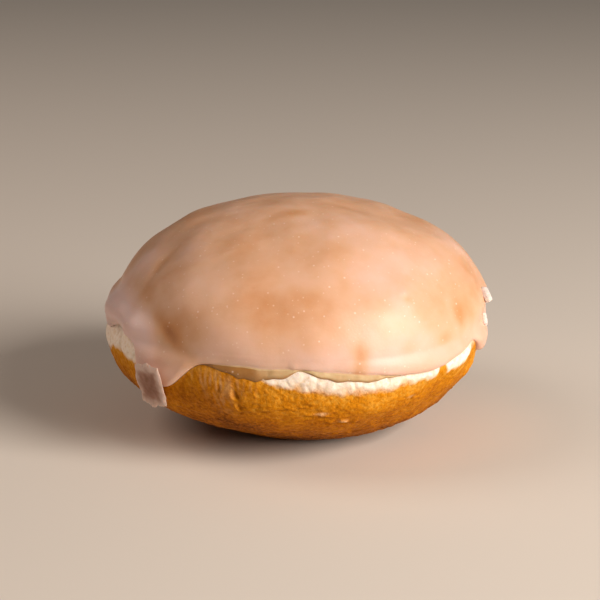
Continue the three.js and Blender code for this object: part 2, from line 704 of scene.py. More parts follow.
@dataclass(frozen=True)
class FriedDough(Finish):
    """Yeast dough fried in deep fat: a matt golden-brown skin, and a pale ring that the fat missed.

    The skin's browning is blotchy, with fine blisters and pores. The ring is cream and soft, so light
    goes a little way into it. Fat left in the folds gives small wet glints, and pale painted highlights
    stand for the brightest of them. Pores, grooves and the ring's puff valleys get painted shade.
    """

    cream: str = "#f8eada"
    cream_shade: str = "#e8ceac"
    bloom: str = "#dca870"
    straw: str = "#dc9a30"
    golden: str = "#cc8006"
    brown: str = "#b06602"
    dark: str = "#6a3600"
    blotch_size: float = 7.0
    grain_size: float = 0.85
    blister_size: float = 1.4

    def make(self) -> bpy.types.Material:
        """Makes the material.

        Returns:
            The material.
        """
        material, add, place = self.begin()
        below, groove, bloom, moist = (
            add("Attribute", {}, "Fac", attribute_name=mark)
            for mark in ("below_line", "groove", "bloom", "moist")
        )
        blotches, grain = (
            add("TexNoise", {"Vector": place, "Scale": per_metre(size), "Detail": detail, "Roughness": rough})
            for size, detail, rough in ((self.blotch_size, 4.0, 0.6), (self.grain_size, 3.0, 0.65))
        )
        blisters = add("TexVoronoi", {"Vector": place, "Scale": per_metre(self.blister_size)}, "Distance")

        # Brown below the crust line, whose border the grain makes ragged, and darker towards the foot.
        ragged = add("Math", {0: grain, 1: -0.5}, operation="ADD")
        ragged = add("Math", {0: ragged, 1: 1.6, 2: below}, operation="MULTIPLY_ADD")
        fried = add(
            "MapRange", {"Value": ragged, "From Min": -0.9, "From Max": 1.6}, interpolation_type="SMOOTHSTEP",
        )
        tone = add("MapRange", {"Value": below, "From Max": 18.5, "To Min": -0.3})
        tone = add("Math", {0: blotches, 1: 1.5, 2: tone}, operation="MULTIPLY_ADD")
        tone = add("Math", {0: grain, 1: 2.1, 2: tone}, operation="MULTIPLY_ADD")
        tone = add("MapRange", {"Value": tone, "From Min": 1.35, "From Max": 3.1})
        browning = ((0.0, self.straw), (0.3, self.golden), (0.65, self.brown), (1.0, self.dark))
        crust = add("ValToRGB", {0: tone}, stops=browning)
        pale = add("ValToRGB", {0: grain}, stops=((0.25, self.cream_shade), (0.6, self.cream)))
        crust = add("Mix", {SHARE: bloom, FIRST: crust, SECOND: self.bloom}, MIXED, data_type="RGBA")
        skin = add("Mix", {SHARE: fried, FIRST: pale, SECOND: crust}, MIXED, data_type="RGBA")

        # Painted shade: pores, crease grooves and the valleys between the pale ring's puffs are darkened
        # towards dark brown, and the folds near the foot are wet.
        pits = add("MapRange", {"Value": blisters, "From Max": 0.22, "To Min": 0.35, "To Max": 0.0})
        pits = add("Math", {0: pits, 1: groove}, operation="MAXIMUM")
        pits = add("Math", {0: pits, 1: 0.7}, operation="MULTIPLY")
        skin = add("Mix", {SHARE: pits, FIRST: skin, SECOND: self.dark}, MIXED, data_type="RGBA")
        even = {"From Min": 0.3, "From Max": 0.7}
        rough = add("MapRange", {"Value": grain, **even, "To Min": 0.6, "To Max": 0.8})
        rough = add("Math", {0: moist, 1: -0.4, 2: rough}, operation="MULTIPLY_ADD")
        height = add("Math", {0: blisters, 1: 0.5, 2: grain}, operation="MULTIPLY_ADD")
        strength = add("MapRange", {"Value": fried, "To Min": 0.3, "To Max": 0.85})
        surface = add("BsdfPrincipled", {
            "Base Color": skin,
            "Roughness": rough,
            "Normal": add("Bump", {"Height": height, "Strength": strength, "Distance": 0.4 * MM}),
            "IOR": 1.45,
            "Specular IOR Level": 0.12,
            "Subsurface Weight": 0.06,
            "Subsurface Radius": (1.6, 0.8, 0.3),
            "Subsurface Scale": 1.2 * MM,
        })
        add("OutputMaterial", {"Surface": surface})
        return material


@dataclass(frozen=True)
class SugarIcing(Finish):
    """Icing sugar and water, poured warm and set: a satin coat that light goes into.

    Where it lies thin, the brown dough shows through as orange and brown blotches; where it ran
    thick, along the rim, it is pinkish white. Undissolved sugar shows as small pale specks, drawn
    coarser than the real grains so that they show.
    """

    bare: str = "#a4683e"
    thin: str = "#cc9160"
    middle: str = "#daac8a"
    thick: str = "#e4bca8"
    rim: str = "#e4c4ba"
    film: str = "#d6b98c"
    film_shade: str = "#a2723c"
    painted_film_edge_shadow: str = "#94642c"
    speck: str = "#fff0e2"
    blotch_size: float = 15.0
    cloud_size: float = 5.0
    grit_size: float = 0.5
    speck_spacing: float = 1.05
    speck_radius: float = 0.3

    def make(self) -> bpy.types.Material:
        """Makes the material.

        Returns:
            The material.
        """
        material, add, place = self.begin()
        depth = add("Attribute", {}, "Fac", attribute_name="depth")
        film = add("Attribute", {}, "Fac", attribute_name="film")
        blotches, clouds, grit = (
            add("TexNoise", {"Vector": place, "Scale": per_metre(size), "Detail": detail, "Roughness": rough})
            for size, detail, rough in (
                (self.blotch_size, 3.0, 0.55), (self.cloud_size, 4.0, 0.6), (self.grit_size, 2.0, 0.5),
            )
        )

        # The colour follows the coat's depth, made uneven by blotches and clouds.
        shown = add("Math", {0: blotches, 1: 1.3, 2: depth}, operation="MULTIPLY_ADD")
        shown = add("Math", {0: clouds, 1: 0.6, 2: shown}, operation="MULTIPLY_ADD")
        shown = add("MapRange", {"Value": shown, "From Min": 0.9, "From Max": 3.4})
        coat = add("ValToRGB", {0: shown}, stops=(
            (0.0, self.bare), (0.22, self.thin), (0.45, self.middle), (0.68, self.thick), (1.0, self.rim),
        ))

        # The wet film below the rim is clearer, with a painted shadow line darkening it along its own edge.
        wet = add("Math", {0: clouds, 1: 0.6, 2: depth}, operation="MULTIPLY_ADD")
        wet = add("ValToRGB", {0: wet}, stops=((0.5, self.film_shade), (0.95, self.film)))
        painted_edge_shadow = add("MapRange", {"Value": film, "From Min": 0.72})
        wet = add("Mix", {SHARE: painted_edge_shadow, FIRST: wet, SECOND: self.painted_film_edge_shadow}, MIXED, data_type="RGBA")
        wet_share = add("MapRange", {"Value": film, "From Max": 0.4})
        coat = add("Mix", {SHARE: wet_share, FIRST: coat, SECOND: wet}, MIXED, data_type="RGBA")

        # Each cell holds one speck of its own size, and some hold none.
        cells = add("TexVoronoi", {"Vector": place, "Scale": per_metre(self.speck_spacing)}, "Distance")
        share = self.speck_radius / self.speck_spacing
        reach = add("SeparateColor", {0: cells.node.outputs["Color"]})
        reach = add("Math", {0: reach, 1: share * 1.4, 2: -share * 0.4}, operation="MULTIPLY_ADD")
        specks = add("Math", {0: reach, 1: cells}, operation="SUBTRACT")
        specks = add("MapRange", {"Value": specks, "From Max": share * 1.1, "To Max": 0.7})
        coat = add("Mix", {SHARE: specks, FIRST: coat, SECOND: self.speck}, MIXED, data_type="RGBA")

        even = {"From Min": 0.3, "From Max": 0.7}
        rough = add("MapRange", {"Value": clouds, **even, "To Min": 0.34, "To Max": 0.5})
        relief = add("Math", {0: specks, 1: 0.6, 2: grit}, operation="MULTIPLY_ADD")
        surface = add("BsdfPrincipled", {
            "Base Color": coat,
            "Roughness": rough,
            "Normal": add("Bump", {"Height": relief, "Strength": 0.12, "Distance": 0.2 * MM}),
            "IOR": 1.45,
            "Subsurface Weight": 0.35,
            "Subsurface Radius": (1.5, 0.8, 0.5),
            "Subsurface Scale": 1.5 * MM,
        })
        add("OutputMaterial", {"Surface": surface})
        return material


@dataclass(frozen=True)
class DryIcing(Finish):
    """A broken bit of set icing: dry, slightly rough sugar, whitest along its broken edges."""

    body: str = "#a27560"
    edge: str = "#d4bcae"
    shade: str = "#70401f"
    cloud_size: float = 1.5

    def make(self) -> bpy.types.Material:
        """Makes the material.

        Returns:
            The material.
        """
        material, add, place = self.begin()
        depth = add("Attribute", {}, "Fac", attribute_name="depth")
        clouds = add("TexNoise", {"Vector": place, "Scale": per_metre(self.cloud_size), "Detail": 4.0})
        shown = add("Math", {0: clouds, 1: 0.8, 2: depth}, operation="MULTIPLY_ADD")
        shown = add("MapRange", {"Value": shown, "From Min": 0.3, "From Max": 1.4})
        sugar = add("ValToRGB", {0: shown}, stops=((0.0, self.shade), (0.5, self.body), (1.0, self.edge)))
        surface = add("BsdfPrincipled", {
            "Base Color": sugar,
            "Roughness": 0.5,
            "Normal": add("Bump", {"Height": clouds, "Strength": 0.3, "Distance": 0.2 * MM}),
            "IOR": 1.45,
            "Subsurface Weight": 0.3,
            "Subsurface Radius": (1.5, 0.9, 0.6),
            "Subsurface Scale": 0.8 * MM,
        })
        add("OutputMaterial", {"Surface": surface})
        return material


@dataclass(frozen=True)
class PaperSweep(Finish):
    """Matt paper, calendered: the stage's plain pale floor, with no gloss."""

    colour: str = "#dad2c6"

    def make(self) -> bpy.types.Material:
        """Makes the material.

        Returns:
            The material.
        """
        material, add, _ = self.begin()
        surface = add("BsdfPrincipled", {"Base Color": self.colour, "Roughness": 0.9})
        add("OutputMaterial", {"Surface": surface})
        return material


# --------------------------------------------------------------------------- where the icing ends


# The edge is first read this many times round the doughnut.
DENSE_STEPS = 7200


@dataclass
class CoatEdge:
    """The icing's lower edge: its height round the doughnut, and the wet film that reaches below it.

    It is kept as evenly spaced points, so that a steep run gets as many as a level stretch.

    Attributes:
        base: the edge's usual height.
        long_run: how far down the long run at the left reaches.
        softness: how widely its corners are rounded.
        finer: how many points are worked out for each one kept.
        angle: the points' angles.
        along: their distances along the outline.
        inward: the direction square to the edge at each, towards the crown.
    """

    shape: DoughShape
    base: float = 24.3
    long_run: float = 6.2
    softness: float = 1.0
    finer: int = 4
    ragged: Noise = Noise(3.2, seed=32, octaves=2)
    angle: Array = field(init=False)
    along: Array = field(init=False)
    inward: Array = field(init=False)

    # Where the edge lies higher or lower than usual: angle, half width, rise.
    moves = (
        (256, 34, 0.6), (262, 10, -0.6), (308, 32, -2.4), (206, 15, 3.2), (342, 9, -4.2), (20, 25, 0.8),
        (74, 13, -3.5), (104, 20, 1.3), (133, 10, -2.8), (160, 18, 0.8), (45, 12, -0.9),
    )

    def height(self, angle: Array) -> Array:
        """The edge's height, before its corners are rounded off.

        Args:
            angle: degrees round the doughnut.

        Returns:
            Millimetres over the table.
        """
        height = raised(self.base + 0.25 * wave(angle, 5, 40) + 0.2 * wave(angle, 11, 3), self.moves, angle)
        long_run = self.long_run * plateau(angle, 217, 220, 228.5, 241.5)
        return height - long_run + 0.22 * self.ragged.at(on_circle(angle) * self.shape.belt_radius)

    def __post_init__(self) -> None:
        """Spaces the points evenly and rounds the edge's corners."""
        belt = self.shape.belt_radius
        dense = np.linspace(0, 360, DENSE_STEPS + 1)
        sideways = np.radians(dense) * belt
        along = self.shape.along_at(self.height(dense))
        reach = np.concatenate([[0], np.cumsum(np.hypot(np.diff(sideways), np.diff(along)))])
        count = FULL_RING * self.finer
        even = np.arange(count) * reach[-1] / count
        around = even * sideways[-1] / reach[-1]
        frequency = np.fft.rfftfreq(count, reach[-1] / count)
        soften = np.exp(-2 * (math.pi * frequency * self.softness) ** 2)
        drift = np.fft.irfft(np.fft.rfft(np.interp(even, reach, sideways) - around) * soften, count)
        along = np.fft.irfft(np.fft.rfft(np.interp(even, reach, along)) * soften, count)
        sideways = around + drift
        across = np.diff(sideways, append=sideways[0] + belt * math.tau)
        onwards = np.diff(along, append=along[0])
        length = np.hypot(across, onwards)
        self.angle = np.degrees(sideways / belt)[:: self.finer]
        self.along = along[:: self.finer]
        self.inward = np.c_[onwards / length, -across / length][:: self.finer]

    def inside(self, inwards: Array | float) -> tuple[Array, Array]:
        """Angles and distances along the outline, so far in from the edge and square to it."""
        turn = np.degrees(inwards * self.inward[:, 0] / self.shape.read(self.along, "radius"))
        return self.angle + turn, self.along + inwards * self.inward[:, 1]

    def film(self, angle: Array) -> Array:
        """How far a thin wet film reaches out below the edge.

        Args:
            angle: degrees round the doughnut.

        Returns:
            Millimetres, square to the edge.
        """
        angle = angle % 360
        left = 2.3 * plateau(angle, 240, 254, 264, 271)
        right = 1.7 * plateau(angle, 268, 281, 287, 303)
        back = 1.4 * plateau(angle, 24, 34, 50, 60) + 1.6 * plateau(angle, 140, 148, 160, 172)
        wiggle = self.ragged.at(on_circle(angle, 1.0) * self.shape.belt_radius)
        return 0.12 + (left + right + back) * (1 + 0.3 * wiggle)

    def lowest(self, angle: Array) -> Array:
        """The height at which coat and film end."""
        edge = np.interp(angle % 360, self.angle, self.along, period=360)
        return self.shape.read(edge + self.film(angle), "height")


# --------------------------------------------------------------------------- the dough


@dataclass
class Dough:
    """The fried body: lumpy, creased near its foot, with a pale puffed ring under the icing.

    Attributes:
        crust_height: how high the brown skin usually reaches.
        tuck: how far the lower flank is pulled in.
        side_tuck: how much more it is pulled in at the right.
        browned_drop: how much lower down the darkest marks look to be, in millimetres.
        extra_count: how many small creases are scattered.
        wrinkle_height: how high the skin stands between the wrinkles low on the crust.
        wrinkle_depth: how deep those wrinkles are.
        puff_height: how far the pale ring is puffed out.
        puff_valley: how deep the valleys between its puffs are.
    """

    shape: DoughShape
    edge: CoatEdge
    name: str = "dough_body"
    crust_height: float = 20.3
    tuck: float = 0.45
    side_tuck: float = 0.7
    browned_drop: float = 9.0
    extra_count: int = 90
    wrinkle_height: float = 0.12
    wrinkle_depth: float = 0.2
    puff_height: float = 0.4
    puff_valley: float = 0.2
    swells: Noise = Noise(19, seed=3, octaves=2, height=0.55)
    blisters: Noise = Noise(4.2, seed=11, octaves=2, height=0.16)
    skin: Noise = Noise(1.3, seed=12, octaves=2, height=0.05)
    wrinkles: Noise = Noise(3.0, seed=14, octaves=2)
    puffs: Noise = Noise(3.4, seed=15)
    streaks: Noise = Noise(0.8, seed=19, octaves=2)
    warps: Noise = Noise(4.0, seed=18, octaves=2, height=0.9)
    pores: Pits = Pits(2.2, radius=0.55, seed=16, depth=0.2)
    ragged: Noise = Noise(2.6, seed=17, octaves=2, height=0.8)

    # The rings of vertices: the few at the top, then where each stretch starts and how close they are.
    top_rows = (0.6, 1.4, 3, 6, 11, 18, 26, 34, 42)
    spacings = ((49.0, 0.8), (53.0, 0.335), (66.0, 0.42), (77.0, 0.5), (95.0, 1.1))

    # Where the skin's brown climbs above its usual height: angle, half width, rise.
    climbs = (
        (243, 21, 6.5), (257, 9, 1.6), (268, 8, 0.7), (205, 12, 2.0), (316, 2.6, 4.0), (336, 13, 4.6),
        (301, 6, 0.6), (22, 14, 2.4), (58, 12, 1.0), (96, 14, 3.0), (121, 9, 1.4), (151, 14, 1.5),
        (178, 15, 2.4),
    )

    # Where flour has left a pale bloom on the brown: angle, height, half width, half length, strength.
    bloom_marks = [
        Mark(246.5, 20.2, 3.6, 3.6, 0.5),
        Mark(242.0, 21.5, 6.0, 1.8, 0.35),
        Mark(253.5, 20.5, 3.5, 1.8, 0.35),
        Mark(247.5, 15.5, 2.0, 3.0, 0.25),
        Mark(60.0, 18.0, 8.0, 3.0, 0.4),
        Mark(120.0, 17.0, 6.0, 3.0, 0.45),
        Mark(170.0, 18.5, 5.0, 3.0, 0.4),
    ]

    # Where it fried darkest, and painted shade on the shaded left: angle, height, half width, half length,
    # strength.
    browned_and_shade_marks = [
        # Painted shade: darkens the crust on the left side, which the key light leaves in shade.
        Mark(206.0, 15.5, 12.0, 5.0, 1.0),
        Mark(244.0, 9.0, 10.0, 4.0, 0.5),
        Mark(262.0, 16.5, 4.0, 4.0, 0.35),
        Mark(256.0, 21.0, 5.0, 1.5, 0.3),
        Mark(278.0, 11.0, 9.0, 1.5, 0.25, lean=4),
        Mark(318.0, 16.0, 9.0, 4.0, 0.5),
        Mark(30.0, 12.0, 14.0, 5.0, 0.4),
        Mark(110.0, 10.0, 12.0, 5.0, 0.5),
    ]

    # Painted highlights: small pale spots where the wet folds glint, drawn in the bloom colour.
    painted_glint_marks = [
        Mark(276.8, 14.3, 1.1, 0.35, 1.6, lean=-6),
        Mark(284.2, 12.0, 0.8, 0.35, 1.6),
        Mark(306.0, 16.0, 0.8, 0.3, 1.0),
    ]

    creases = [
        Crease(251.6, 18.0, 7.5, 0.6, 0.6, 0.45, lean=96),
        Crease(275.5, 13.2, 7.5, 0.4, 0.75, 0.45, lean=-4),
        Crease(283.5, 11.2, 8.5, 0.45, 0.8, 0.5, lean=-6),
        Crease(246.0, 19.5, 4.5, 0.3, 0.25, 0.15, lean=70),
        Crease(257.5, 15.5, 3.5, 0.35, 0.25, 0.15, lean=60),
        Crease(287.0, 6.0, 8.0, 0.4, 0.4, 0.45, lean=2),
        Crease(281.0, 22.2, 3.0, 0.3, 0.25, 0.1, lean=82),
        Crease(286.5, 21.8, 3.4, 0.35, 0.35, 0.1, lean=96),
        Crease(291.5, 21.6, 3.2, 0.3, 0.3, 0.1, lean=88),
        Crease(296.0, 21.6, 3.6, 0.4, 0.4, 0.12, lean=78),
        Crease(301.5, 21.8, 3.0, 0.3, 0.3, 0.1, lean=100),
        Crease(307.0, 22.0, 3.4, 0.35, 0.35, 0.1, lean=84),
    ]

    def extra_creases(self) -> list[Crease]:
        """Scatters small creases all round the skin, most of them level and low down.

        Returns:
            The creases.
        """
        chance = np.random.default_rng(21)
        made = []
        for _ in range(self.extra_count):
            height = 3 + 15 * chance.uniform() ** 1.6
            made.append(Crease(
                angle=chance.uniform(0, 360),
                height=height,
                length=chance.uniform(3, 11),
                width=chance.uniform(0.2, 0.4),
                depth=chance.uniform(0.08, 0.3),
                lip=chance.uniform(0.05, 0.2),
                lean=chance.normal(0, 14) + (75 if height > 14 and chance.uniform() < 0.4 else 0),
            ))
        return made

    def swell(self, angle: Array, along: Array) -> Array:
        """The broad lumps, which the icing follows. They die out towards the flat foot."""
        fade = smooth(self.shape.read(along, "height"), 0.5, 8)
        return fade * self.swells.at(self.shape.place(angle, along))

    def crust_line(self, angle: Array) -> Array:
        """The height where the brown skin ends and the pale ring begins."""
        level = self.crust_height + 0.5 * wave(angle, 2, 235) + 0.35 * wave(angle, 7, 12)
        return raised(level, self.climbs, angle)

    def tucked(self, angle: Array, height: Array) -> Array:
        """How far each place is pulled in.

        Args:
            angle: degrees round the doughnut.
            height: millimetres over the table.

        Returns:
            Millimetres.
        """
        all_round = self.tuck * smooth(height, 1.0, 4.5) * smooth(height, 16, 9)
        at_side = self.side_tuck * bump(angle, 336, 44) * smooth(height, 7, 14) * smooth(height, 22, 16)
        return all_round + at_side

    def rows(self) -> Array:
        """Spaces the rings along the outline, closest together where they show.

        Returns:
            Their places, in millimetres.
        """
        ends = [start for start, _ in self.spacings[1:]] + [self.shape.length - 0.5]
        stretches = [np.arange(start, end, gap) for (start, gap), end in zip(self.spacings, ends)]
        return np.concatenate([self.top_rows, *stretches])

    def build(self) -> bpy.types.Object:
        """Builds the dough's mesh with its relief and the numbers that its finish reads.

        Returns:
            The dough.
        """
        rows = self.rows()
        rings = Rings(ring_sizes(self.shape.read(rows, "radius")))
        angle, along = rings.angle, np.concatenate([[0.0], rows, [self.shape.length]])[rings.row]
        height, points = self.shape.read(along, "height"), self.shape.place(angle, along)
        stain = partial(self.shape.stain, angle, along)

        # How much each place is brown crust, and how far it is bared below the icing.
        below = self.crust_line(angle) + self.ragged.at(points) - height
        crust = smooth(below, -1.0, 1.6)
        bared = smooth(self.edge.lowest(angle) - height, -0.2, 1.0)

        # Blisters and fine skin all over, wrinkles low on the crust, pores, and puffs in the pale ring.
        warp = self.warps.at(points)
        relief = self.blisters.at(points) + self.skin.at(points)
        level = self.wrinkles.at(points * (0.5, 0.5, 1.5) + warp[:, None])
        wrinkles = self.wrinkle_height * level - self.wrinkle_depth * ridge(level, 0.16)
        relief += smooth(height, 14, 4) * crust * wrinkles
        relief -= self.pores.at(points) * (0.3 + 0.7 * crust)
        valley = ridge(self.puffs.at(points * (1, 1, 0.5) + warp[:, None]), 0.1)
        relief += (1 - crust) * bared * (self.puff_height - self.puff_valley * valley)
        folds, groove = self.shape.fold(angle, along, self.creases + self.extra_creases(), warp)
        shown = smooth(height, 31, 28.5) * smooth(height, 0.2, 2.5)
        lift = self.swell(angle, along) - self.tucked(angle, height)
        lift = lift + shown * (relief * (0.25 + 0.75 * bared) + folds)

        streaks = smooth(self.streaks.at(points * (1, 1, 0.15)), -0.35, 0.55)
        bloom = np.clip(streaks * stain(self.bloom_marks), 0, 0.8)
        marks = {
            "below_line": below + self.browned_drop * stain(self.browned_and_shade_marks) * crust,
            # bloom: flour bloom, and the painted glint highlights
            "bloom": np.maximum(bloom, np.clip(stain(self.painted_glint_marks), 0, 1)),
            # groove: painted shade that the finish puts in crease grooves and between the pale ring's puffs
            "groove": np.maximum(groove * (0.25 + 0.35 * crust), 0.26 * valley * (1 - crust)),
            "moist": smooth(groove, 0.2, 0.8) * smooth(height, 16, 12),
        }
        return make_piece(self.name, self.shape.place(angle, along, lift), stitch(rings.sizes), marks)


# --------------------------------------------------------------------------- the icing


# A distance in from the edge at which the bead has long ended.
FAR = 50.0


@dataclass
class IcingCoat:
    """The coat of icing: thin over the crown, a thick bead along its edge, and runs down the side.

    Attributes:
        thickness: the coat's usual thickness.
        thinnest: the least that it has anywhere.
        bead: how much thicker it is along its edge.
        side_bead: how much more than that, at the right.
        bead_width: how far in the bead fades out.
        lip: how far in the rounded lip reaches.
        narrow_lip: how far in it reaches round the runs.
        undercut: degrees that the lip turns under where there is no film.
        film_height: the wet film's thickness.
        sunk: how deep in the dough the coat's inside lies.
        twist: degrees that the rings at the crown are turned, so that columns follow the edge's drift.
    """

    dough: Dough
    edge: CoatEdge
    name: str = "icing_coat"
    thickness: float = 1.0
    thinnest: float = 0.35
    bead: float = 0.4
    side_bead: float = 0.05
    bead_width: float = 7.0
    lip: float = 2.9
    narrow_lip: float = 1.0
    undercut: float = 12.0
    film_height: float = 0.32
    sunk: float = 0.35
    twist: float = 8.0
    rows_above: int = 112
    lip_rows: int = 14
    film_steps: tuple[float, ...] = (0.1, 0.28, 0.46, 0.64, 0.8, 0.92, 1.0)
    inside_rows: int = 12
    ripples: Noise = Noise(13, seed=31, octaves=2, height=0.17)
    dimples: Noise = Noise(3.5, seed=34, height=0.05)
    film_ripples: Noise = Noise(2.4, seed=33, octaves=2, height=0.14)

    # Where it stands prouder or lower: angle, height, half width, half length, millimetres.
    relief_marks = [
        Mark(193.0, 30.0, 6.0, 3.0, 0.9),
        Mark(205.0, 29.0, 5.5, 3.2, 0.8, lean=20),
        Mark(214.5, 27.5, 4.0, 4.0, 0.7, lean=-50),
        Mark(229.5, 29.0, 2.6, 6.0, -0.18, lean=-58),
        Mark(252.0, 32.0, 15.0, 3.5, 0.3),
        Mark(254.0, 24.4, 14.0, 3.0, -0.4),
        Mark(209.0, 40.0, 2.0, 4.5, -0.22, lean=-12),
        Mark(196.0, 38.5, 4.0, 5.0, 0.3),
        Mark(287.2, 26.8, 2.4, 4.4, -0.1),
        Mark(224.0, 21.5, 4.0, 3.0, 0.2),
        Mark(305.0, 37.5, 1.0, 0.8, 0.2),
    ]

    # Where it looks deeper or thinner than it is, with one painted highlight: angle, height, half width, half
    # length, millimetres.
    stain_marks = [
        Mark(229.8, 29.4, 1.5, 7.5, -0.55, lean=-60),
        Mark(238.0, 30.8, 7.0, 4.0, -0.35),
        Mark(244.0, 31.0, 7.0, 3.5, -0.2),
        Mark(213.0, 34.5, 3.5, 3.0, -0.3),
        Mark(209.0, 40.0, 1.8, 5.0, -0.25, lean=-12),
        Mark(190.0, 46.0, 4.0, 9.0, -0.35, lean=60),
        Mark(287.0, 28.2, 1.7, 2.0, -0.75),
        Mark(287.5, 25.7, 1.8, 2.1, -0.75),
        Mark(315.0, 26.0, 22.0, 3.6, 0.1),
        Mark(322.0, 42.0, 14.0, 8.0, 0.25),
        Mark(325.0, 30.3, 1.8, 4.2, -0.5, lean=14),
        Mark(332.0, 30.5, 2.6, 3.0, -0.35),
        Mark(317.0, 27.8, 2.8, 1.5, -0.5),
        Mark(302.0, 27.0, 2.0, 1.8, -0.35),
        Mark(305.5, 36.3, 1.0, 0.8, -0.4),
        Mark(292.5, 48.1, 1.6, 2.2, -0.3),
        Mark(266.0, 49.4, 4.0, 2.0, -0.3),
        Mark(272.0, 37.0, 9.0, 6.0, -0.15),
        Mark(262.0, 26.5, 24.0, 2.0, 0.25),
        # Partly painted highlight: whitens the icing where the key light's broad highlight falls, as well as
        # a thicker patch.
        Mark(299.0, 28.0, 10.0, 4.5, 0.22),
        Mark(295.0, 41.0, 7.0, 4.0, 0.3),
        Mark(205.0, 29.0, 10.0, 4.0, 1.1),
        Mark(190.0, 30.0, 8.0, 4.0, 0.8),
        Mark(218.0, 27.0, 4.0, 4.5, 0.7, lean=-50),
        Mark(196.0, 38.0, 5.0, 4.0, 0.35),
        Mark(219.0, 35.0, 6.0, 3.0, 0.2),
    ]

    def lip_width(self, angle: Array) -> Array:
        """How far in the rounded lip reaches: less where the edge turns sharply, round the runs."""
        sharp = np.maximum(plateau(angle % 360, 208, 215, 232, 246), bump(angle, 345, 16))
        return self.lip + (self.narrow_lip - self.lip) * sharp

    def lift(self, angle: Array, along: Array, inwards: Array) -> Array:
        """The coat's thickness.

        Args:
            angle: degrees round the doughnut.
            along: millimetres along the outline.
            inwards: how far in from the edge each place is.

        Returns:
            Millimetres.
        """
        points = self.dough.shape.place(angle, along)
        bead = self.bead + self.side_bead * bump(angle, 325, 55)
        bead = bead * (1 - smooth(inwards, self.lip, self.lip + self.bead_width))
        ripple = self.ripples.at(points) + self.dimples.at(points)
        marks = self.dough.shape.stain(angle, along, self.relief_marks)
        return np.maximum(self.thickness + bead + ripple + marks, self.thinnest)

    def build(self) -> bpy.types.Object:
        """Builds the coat as one closed skin.

        It runs from the crown down the outside to the rounded lip, out along the film and back up
        inside the dough, so that no gap shows between the two.

        Returns:
            The coat.
        """
        shape, edge = self.dough.shape, self.edge
        film, lip = edge.film(edge.angle), self.lip_width(edge.angle)
        lip_angle, lip_along = edge.inside(lip)
        even_angle = np.arange(FULL_RING) * 360 / FULL_RING + self.twist
        knots = KDTree(FULL_RING)
        for index, knot in enumerate(shape.place(edge.angle, edge.along)):
            knots.insert(Vector(knot), index)
        knots.balance()
        rings: list[tuple[Array, ...]] = []

        def add(angle: Array, along: Array, lift: Array, depth: Array, wet: float) -> None:
            """Adds one ring, or one pole."""
            rings.append((angle, along, lift, depth, np.full(len(angle), wet)))

        def add_above(share: float, size: int, inner: bool) -> None:
            """Adds a ring between the lip and the crown.

            Args:
                share: how far up it lies, from 0 at the lip to 1 at the crown.
                size: how many vertices it has.
                inner: whether it is on the coat's inside.
            """
            step = FULL_RING // size
            angle = even_angle[::step] + (lip_angle - even_angle)[::step] * (1 - share)
            along = lip_along[::step] * (1 - share)
            inwards = np.array([knots.find(Vector(place))[2] for place in shape.place(angle, along)])
            lift = self.lift(angle, along, inwards)
            depth = lift + shape.stain(angle, along, self.stain_marks)
            add(angle, along, np.full(size, -self.sunk) if inner else lift, depth, 0.0)

        # The outside, from the crown to where the lip starts.
        pole = (np.zeros(1), np.zeros(1))
        crown = self.lift(*pole, np.full(1, FAR))
        add(*pole, crown, crown, 0.0)
        shares = (np.arange(self.rows_above, 0, -1) / self.rows_above)[1:] ** 1.25
        radii = shape.read(np.mean(lip_along) * (1 - shares), "radius")
        for share, size in zip(shares, ring_sizes(np.append(radii, max(radii)))):
            add_above(share, size, inner=False)

        # The rounded lip, which comes down to the film, or turns under where there is none.
        rim = self.lift(lip_angle, lip_along, np.full(FULL_RING, self.lip))
        depth = rim + shape.stain(lip_angle, lip_along, self.stain_marks)
        last = math.radians(self.undercut) * (3 * smooth(film, 0.1, 1.8) - 1)
        wet_height = self.film_height * smooth(film, 0.1, 0.8)
        for part in np.linspace(0, 1, self.lip_rows):
            swing = math.pi / 2 + (last - math.pi / 2) * part
            share = (np.sin(swing) - np.sin(last)) / (1 - np.sin(last))
            add(*edge.inside(lip * (1 - np.cos(swing))), wet_height + (rim - wet_height) * share, depth, 0.0)

        # The film, to its thin edge.
        # Painted shade: the film is darker on the left, round 248 degrees, the side turned away from the key
        # light.
        film_tone_and_shade = 0.55 - 0.5 * bump(edge.angle % 360, 248, 24)
        for step in self.film_steps:
            place = edge.inside(-step * film)
            lift = self.film_height + self.film_ripples.at(shape.place(*place))
            lift = lift * smooth(film, 0.1, 0.8) * math.sqrt(1 - step**4)
            add(*place, lift, film_tone_and_shade, 0.4 + 0.6 * step)

        # The inside, back up to the crown.
        add(*edge.inside(0.1 - film), np.full(FULL_RING, -self.sunk), film_tone_and_shade, 1.0)
        inner_sizes = ring_sizes(shape.read(np.linspace(52, 3, self.inside_rows), "radius"))
        for share, size in zip(np.linspace(0.02, 0.95, self.inside_rows), inner_sizes):
            add_above(share, size, inner=True)
        add(*pole, np.full(1, -self.sunk), crown, 0.0)

        angle, along, lift, depth, wet = (np.concatenate(parts) for parts in zip(*rings))
        points = shape.place(angle, along, lift + self.dough.swell(angle, along))
        sizes = [len(ring[0]) for ring in rings[1:-1]]
        return make_piece(self.name, points, stitch(sizes), {"depth": depth, "film": wet})


# --------------------------------------------------------------------------- loose bits of icing


